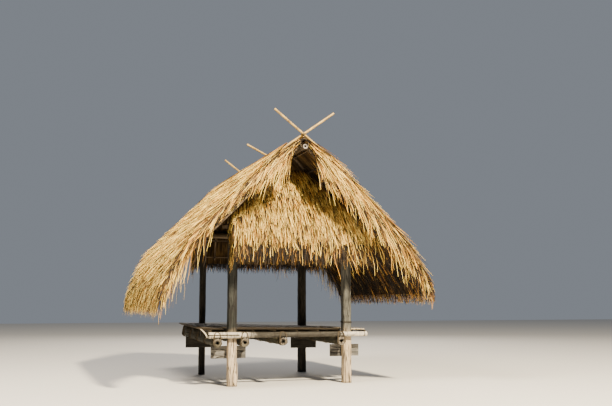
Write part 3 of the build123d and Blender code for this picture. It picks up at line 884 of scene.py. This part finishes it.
def grow(sheet, stalks, length, width, seed, spread=0.4, ragged=0.5, lift=0.1, fan=0.12, sag=0.03,
         curl=0.06, tuft=0.05, pull=0.8, height=0.03, pale=0.5, root_light=0.0, joints=1):
    """The stalks that grow on a bed, as one plain mesh object. stalks says how many there are to the square
    metre."""
    return placed("laid", made_by(straw_laying, sheet, {
        "Stalks per square metre": float(stalks), "Length": length, "Length spread": spread,
        "Raggedness": ragged, "Width": width, "Lift": lift, "Fan": fan, "Sag": sag, "Curl": curl,
        "Tuft size": tuft, "Tuft pull": pull, "Tuft height": height, "Paleness": pale, "Openness": root_light,
        "Joints": joints, "Seed": seed, "Finish": straw_stalks}))


def joined(name, parts):
    """Several mesh objects made one piece."""
    bpy.ops.object.select_all(action="DESELECT")
    for part in parts:
        part.select_set(True)
    bpy.context.view_layer.objects.active = parts[0]
    bpy.ops.object.join()
    bpy.ops.object.material_slot_remove_unused()
    parts[0].name = name
    parts[0].data.name = name
    return parts[0]


def core(name, finish):
    """A copy of a node's own shape in packed straw, for the stalks to lie on."""
    return shaped("core", merged_form(name), finish)


def finish_straw(piece, *replaced):
    """Fixes a piece of straw to the hut, in place of the solids that it covers."""
    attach(piece, "root")
    if replaced:
        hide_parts(*replaced)


def slope_z(side, x, level=slope_top):
    """Height of a slope's face at a distance from the ridge line."""
    past = max(0.0, x - eave_bend_x) / (eave_x - eave_bend_x)
    return level - x - eave_drop[side] * past ** 2


def slope_lay(side, x):
    """The way down a slope at a distance from the ridge line."""
    past = max(0.0, x - eave_bend_x) / (eave_x - eave_bend_x)
    steep = 1 + 2 * eave_drop[side] * past / (eave_x - eave_bend_x)
    return Vector((side, 0, -steep)).normalized()


def even_steps(start, end, count):
    """Places from start to end, as far apart as one another."""
    return [start + (end - start) * i / count for i in range(count + 1)]


def between_verges(share, count):
    """Evenly spaced places from one verge to the other, over a share of the roof's length."""
    return [verge_y * share * (2 * j / count - 1) for j in range(count + 1)]


splay, splay_from = 0.2, 1.45               # the stalks turn out towards the verges
eave_long = {-1: 0.55, 1: 0.40}             # and are shorter at the eaves, by these shares
short_from, short_to = 1.6, 2.0


def slope_bed(side, start, end, level, inside=False):
    """The bed of one slope, from one distance from the ridge line to another."""
    rows = []
    for x in even_steps(start, end, 14):
        long = 1 - (1 - eave_long[side]) * max(0.0, x - short_from) / (short_to - short_from)
        row = []
        for y in between_verges(0.97, 22):
            near_verge = max(0.0, abs(y) - splay_from) / (verge_y - splay_from)
            lay = slope_lay(side, x) + Vector((0, math.copysign(splay * near_verge ** 2, y), 0))
            row.append(((side * x, y, slope_z(side, x, level)), lay, 1.0, long))
        rows.append(row)
    return bed(rows, (-side, 0, -1) if inside else (side, 0, 1))


for side, name in ((-1, "left"), (1, "right")):
    outside = grow(slope_bed(side, 0.22, 2.05, slope_top - 0.012), 1800, 0.54, 0.016, 11 + side,
                   lift=0.06, fan=0.09, sag=0.02, curl=0.08, tuft=0.04, pull=0.7, height=0.07, pale=0.80)
    # The underside's stalks are given darker tones, as painted shade under the roof.
    under = grow(slope_bed(side, 0.25, 1.98, underside + 0.004, inside=True), 620, 0.5, 0.012, 21 + side,
                 lift=0.05, fan=0.08, sag=0.0, pull=0.2, pale=-0.14)
    slope = joined("straw_slope_" + name, [core("thatch_" + name, packed_slope), outside, under])
    finish_straw(slope, "thatch_" + name)

# Ridge cap
# Straw bent over the ridge covers the heads of both slopes. Crossed poles pin it down, and its ends run out
# over the slopes in loose tips.
cap_pitch = math.tan(math.radians(32))
cap_half, _, cap_apex = corners("thatch_ridge")[1]


def cap_bed(side):
    """One half of the cap, from the ridge line to its foot."""
    rows = []
    for x in even_steps(0, cap_half, 6):
        lay = (side, 0, -cap_pitch - 0.5 * x)
        rows.append([((side * x, y, cap_apex - x * cap_pitch - 0.01), lay, 1.0, 1.0)
                     for y in between_verges(0.985, 20)])
    return bed(rows, (side, 0, 1))


def ridge_bed(side):
    """A narrow strip beside the ridge, where stalks lie thickly over the bend."""
    return bed([[((side * x, y, cap_apex - x * cap_pitch - 0.004), (side, 0, -cap_pitch), 1.0, 1.0)
                 for y in between_verges(0.99, 20)] for x in (-0.03, 0.06)], (0, 0, 1))


cap_parts = [core("thatch_ridge", packed_slope)]
for side in (-1, 1):
    cap_parts.append(grow(cap_bed(side), 2200, 0.50, 0.015, 31 + side, lift=0.08, fan=0.10, sag=0.16,
                          pull=0.6, pale=0.66, root_light=0.35))
    cap_parts.append(grow(ridge_bed(side), 9000, 0.34, 0.015, 331 + side, spread=0.6, lift=0.05, fan=0.10,
                          sag=0.18, pull=0.5, height=0.01, pale=0.58, root_light=0.75, joints=2))
finish_straw(joined("straw_cap", cap_parts), "thatch_ridge")

# Gable aprons
# Each gable is closed below its small dark opening by a skirt of grass that leans out and hangs down in
# thick layers, tied to battens behind. Its foot is a ragged fringe.
(apron_left, _, apron_foot), (apron_right, _, apron_head) = corners("apron_rear")
roof_under = 3.498          # |x| + z under the rafters
apron_out, apron_in = 1.564, 1.139      # from the middle of the hut, at the foot and at the head
apron_crown = 0.1225        # how far its face bulges between them


def between(stops, x):
    """The value at x on straight lines between stops."""
    for (start, low), (end, high) in zip(stops, stops[1:]):
        if x <= end:
            return low + (high - low) * (x - start) / (end - start)
    return stops[-1][1]


def apron_y(z):
    """How far the outer face of an apron stands from the middle of the hut at a height."""
    up = (z - apron_foot) / (apron_head - apron_foot)
    return apron_out + (apron_in - apron_out) * up + 4 * apron_crown * up * (1 - up)


def apron_bed(side, low, high, long):
    """The face of an apron between two heights. Its stalks spread a little towards both ends."""
    rows = []
    for z in even_steps(high, low, 12):
        reach = roof_under - z - 0.01
        left, right = max(apron_left, -reach), min(apron_right, reach)
        lean = (apron_y(z - 0.05) - apron_y(z + 0.05)) / 0.1
        row = []
        for off in even_steps(-1, 1, 20):
            x = left + (right - left) * (off + 1) / 2
            row.append(((x, side * (apron_y(z) + 0.004 - 0.02 * off ** 4), z),
                        (0.12 * off + 0.10 * max(0, x - 0.5), side * (0.05 + lean), -1),
                        1.0, between(long, x)))
        rows.append(row)
    return bed(rows, (0, side, 0))


def apron_lining(side):
    """The underside of the foot, where short ends hang, painted dark as painted shade."""
    rows = []
    for depth in even_steps(0.03, 0.17, 3):
        rows.append([((x, side * (apron_out - depth), apron_foot), (0, 0.1 * side, -1), 1.0, 1.0)
                     for x in even_steps(apron_left, apron_right, 20)])
    return bed(rows, (0, 0, -1))


def apron_flank(side):
    """The left end of an apron, which the slope doesn't cover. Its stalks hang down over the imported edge."""
    rows = []
    for z in even_steps(apron_foot, roof_under + apron_left, 8):
        rows.append([((apron_left - 0.004, side * (apron_y(z) - depth), z), (-0.10, 0, -1), 1.0, 1.0)
                     for depth in even_steps(0, 0.20, 4)])
    return bed(rows, (-1, 0, 0))


packed_apron = packed_straw_finish("packed_apron", 0)
face_long = ((-1.0, 0.9), (1.5, 1.0))
foot_long = ((-1.0, 0.8), (-0.3, 0.6), (0.4, 0.75), (0.7, 1.25), (1.1, 1.15), (1.5, 0.6))
for side, name in ((-1, "front"), (1, "rear")):
    face = grow(apron_bed(side, 2.22, apron_head, face_long), 3800, 0.26, 0.014, 41 + side, spread=0.5,
                ragged=0.8, lift=0.14, sag=0.04, tuft=0.035, pull=0.75, height=0.05, pale=0.92)
    # A layer of dark stalks low on the face: painted shade in the gaps of the fringe.
    painted_light = grow(apron_bed(side, 1.91, 2.26, face_long), 2600, 0.22, 0.012, 341 + side, spread=0.6,
                ragged=1.0, lift=0.04, fan=0.14, height=0.01, pale=-0.15)
    foot = grow(apron_bed(side, 2.04, 2.28, foot_long), 460, 0.40, 0.015, 141 + side, spread=0.7,
                ragged=1.2, fan=0.10, sag=0.02, curl=0.16, tuft=0.045, pull=0.9, height=0.05, pale=0.82,
                joints=3)
    lining = grow(apron_lining(side), 1800, 0.16, 0.012, 241 + side, spread=0.6, ragged=1.0, lift=-0.1,
                  fan=0.2, height=0.0, pale=-0.05)
    flank = grow(apron_flank(side), 3000, 0.26, 0.013, 441 + side, spread=0.5, ragged=0.8, lift=0.08,
                 fan=0.14, tuft=0.04, height=0.02, pale=0.45)
    layers = [core("apron_" + name, packed_apron), face, painted_light, foot, lining, flank]
    finish_straw(joined("straw_apron_" + name, layers), "apron_" + name)


# Verge fringes
# At the gable ends the straw of the slopes is longer and loose. It droops over the edge and hangs in locks,
# with dark gaps between them.

# The tables go by the distance from the ridge line, first for the left slope and then for the right one:
# how far down the gable end the locks root, how long they are, and how thickly they grow.
lock_depth = {-1: ((0.0, 0.06), (0.12, 0.06), (0.2, 0.24), (0.45, 0.20), (0.75, 0.08), (1.5, 0.10),
                   (1.8, 0.15), (2.1, 0.15)),
              1: ((0.0, 0.06), (0.12, 0.06), (0.2, 0.27), (1.0, 0.26), (1.5, 0.20), (2.1, 0.03))}
lock_length = {-1: ((0.0, 0.34), (0.4, 0.42), (0.75, 0.36), (1.6, 0.32), (1.85, 0.26), (2.1, 0.12)),
               1: ((0.0, 0.34), (0.4, 0.48), (1.0, 0.56), (1.5, 0.54), (1.8, 0.36), (2.1, 0.14))}
lock_cover = {-1: ((0.0, 1.0), (2.1, 1.0)),
              1: ((0.0, 1.0), (0.2, 0.8), (0.9, 0.6), (1.3, 0.32), (2.1, 0.35))}
# How steeply they hang, from 0 along the slope to 1 straight down, at the top and at the bottom of the
# gable end.
lock_droop = {-1: ((0.0, 0.02, 0.1), (0.12, 0.02, 0.3), (0.2, 0.05, 0.9), (0.5, 0.05, 0.6),
                   (0.75, 0.02, 0.25), (1.5, 0.02, 0.30), (2.1, 0.02, 0.60)),
              1: ((0.0, 0.02, 0.1), (0.12, 0.02, 0.3), (0.2, 0.05, 0.9), (0.5, 0.08, 0.45),
                  (1.2, 0.12, 0.5), (1.5, 0.2, 0.9), (2.1, 0.3, 0.9))}
# How far the edge stands back from the verge, at each share of the depth that the locks root in.
verge_profile = ((0.0, 0.16), (0.02, 0.06), (0.15, 0.015), (0.4, 0.0), (0.7, 0.01), (1.0, 0.04))


def verge_bed(side, end):
    """The edge of one slope at one gable end, from the ridge down to the eave."""
    top_droop = [(x, top) for x, top, low in lock_droop[side]]
    low_droop = [(x, low) for x, top, low in lock_droop[side]]
    rows = []
    for x in even_steps(0, 2.02, 40):
        top = min(slope_z(side, x), cap_apex - x * cap_pitch)
        along = slope_lay(side, x) if x > cap_half else Vector((side, 0, -cap_pitch)).normalized()
        row = []
        for share, back in verge_profile:
            droop = between(top_droop, x) * (1 - share) + between(low_droop, x) * share
            lay = along * (1 - droop) + Vector((0, end * 0.06, -droop))
            row.append(((side * x, end * (verge_y - back), top - share * between(lock_depth[side], x)), lay,
                        between(lock_cover[side], x), between(lock_length[side], x)))
        rows.append(row)
    return bed(rows, (0, end, 0))


# Single stalks have worked loose and hang free below the edge. These tables say how many there are and how
# long, as shares, and the profile says how far down they root and how far back from the verge.
loose_cover = {-1: ((0.0, 0.9), (0.6, 0.6), (0.8, 0.0), (1.25, 0.0), (1.35, 1.0), (1.9, 1.0), (2.1, 0.6)),
               1: ((0.0, 0.6), (0.5, 0.8), (1.0, 1.0), (2.1, 1.0))}
loose_length = {-1: ((0.0, 0.5), (1.2, 0.5), (1.45, 1.1), (1.7, 1.0), (2.1, 0.3)),
                1: ((0.0, 0.5), (0.9, 0.9), (1.3, 1.1), (1.7, 0.9), (2.1, 0.2))}
loose_profile = ((0.06, -0.005), (0.16, 0.0), (0.20, 0.06))


def loose_bed(side, end):
    """The lower edge of the verge, from which single stalks hang nearly straight down."""
    rows = []
    for x in even_steps(0.15, 2.05, 30):
        lay = slope_lay(side, x) * 0.35 + Vector((0, end * 0.04, -0.75))
        cover, long = between(loose_cover[side], x), between(loose_length[side], x)
        rows.append([((side * x, end * (verge_y - back), slope_z(side, x) - depth), lay, cover, long)
                     for depth, back in loose_profile])
    return bed(rows, (0, end, 0))


for end, name in ((-1, "front"), (1, "rear")):
    locks = []
    for side in (-1, 1):
        locks.append(grow(verge_bed(side, end), 4400, 1.0, 0.015, 51 + side + 2 * end, spread=0.55,
                          ragged=0.9, lift=0.03, sag=0.10, curl=0.10, tuft=0.045, height=0.04, pale=0.58,
                          joints=2))
        locks.append(grow(loose_bed(side, end), 420, 0.46, 0.013, 151 + side + 2 * end, spread=0.7,
                          ragged=0.8, lift=0.06, fan=0.16, sag=0.25, curl=0.20, pull=0.5, height=0.02,
                          pale=0.74, joints=4))
    finish_straw(joined("verge_fringe_" + name, locks))

# Eave fringes
# The last stalks of each slope run past the eave and hang down in a ragged edge. They are the same grass,
# held by the lowest ties of the slope.
tip_length = {-1: 0.17, 1: 0.09}
strip_start, strip_end = 1.72, 2.04
edge_depths = 0.04, 0.10                # of the tips' roots in the cut edge


def eave_bed(side):
    """The last strip of a slope and its cut edge below. The tips root more thickly towards the edge."""
    rows = []
    for i, x in enumerate(even_steps(strip_start, strip_end, 4)):
        hang = slope_lay(side, x) + Vector((0, 0, -0.25 * i))
        rows.append([((side * x, y, slope_z(side, x) - 0.04), hang, min(1.0, 0.15 + 0.3 * i), 1.0)
                     for y in between_verges(0.97, 24)])
    for depth in edge_depths:
        z = slope_z(side, eave_x) - depth
        rows.append([((side * (eave_x + 0.002), y, z), (0, 0, -1), 1.0, 0.6)
                     for y in between_verges(0.98, 24)])
    return bed(rows, (side, 0, 1))


for side, name in ((-1, "left"), (1, "right")):
    tips = grow(eave_bed(side), 3000, tip_length[side], 0.012, 61 + side, spread=0.7, ragged=1.2,
                lift=-0.1, fan=0.22, sag=0.2, curl=0.14, tuft=0.06, height=0.01, pale=0.60)
    finish_straw(joined("eave_fringe_" + name, [tips]))

# Crossed poles
# Pairs of thin peeled poles cross over the ridge and press the cap down. The sun has bleached them to a
# pale straw yellow.
peeled = Finish("peeled_pole")
grain = grain_place(peeled, 0, 6, turn=(0, math.radians(40), 0))
fibre = peeled.noise(grain, 90, 4, 0.6)
patch = peeled.noise(peeled.place, 7, 3, 0.6)
pale_bamboo = peeled.complete(
    peeled.ramp((fibre * 0.5 + patch * 0.5).clamped(), (0.36, (0.12, 0.065, 0.014)),
                (0.52, (0.35, 0.22, 0.042)), (0.68, (0.62, 0.43, 0.10))), 0.5, fibre, 0.002, 0.45)
dress(pale_bamboo, *ridge_pins)
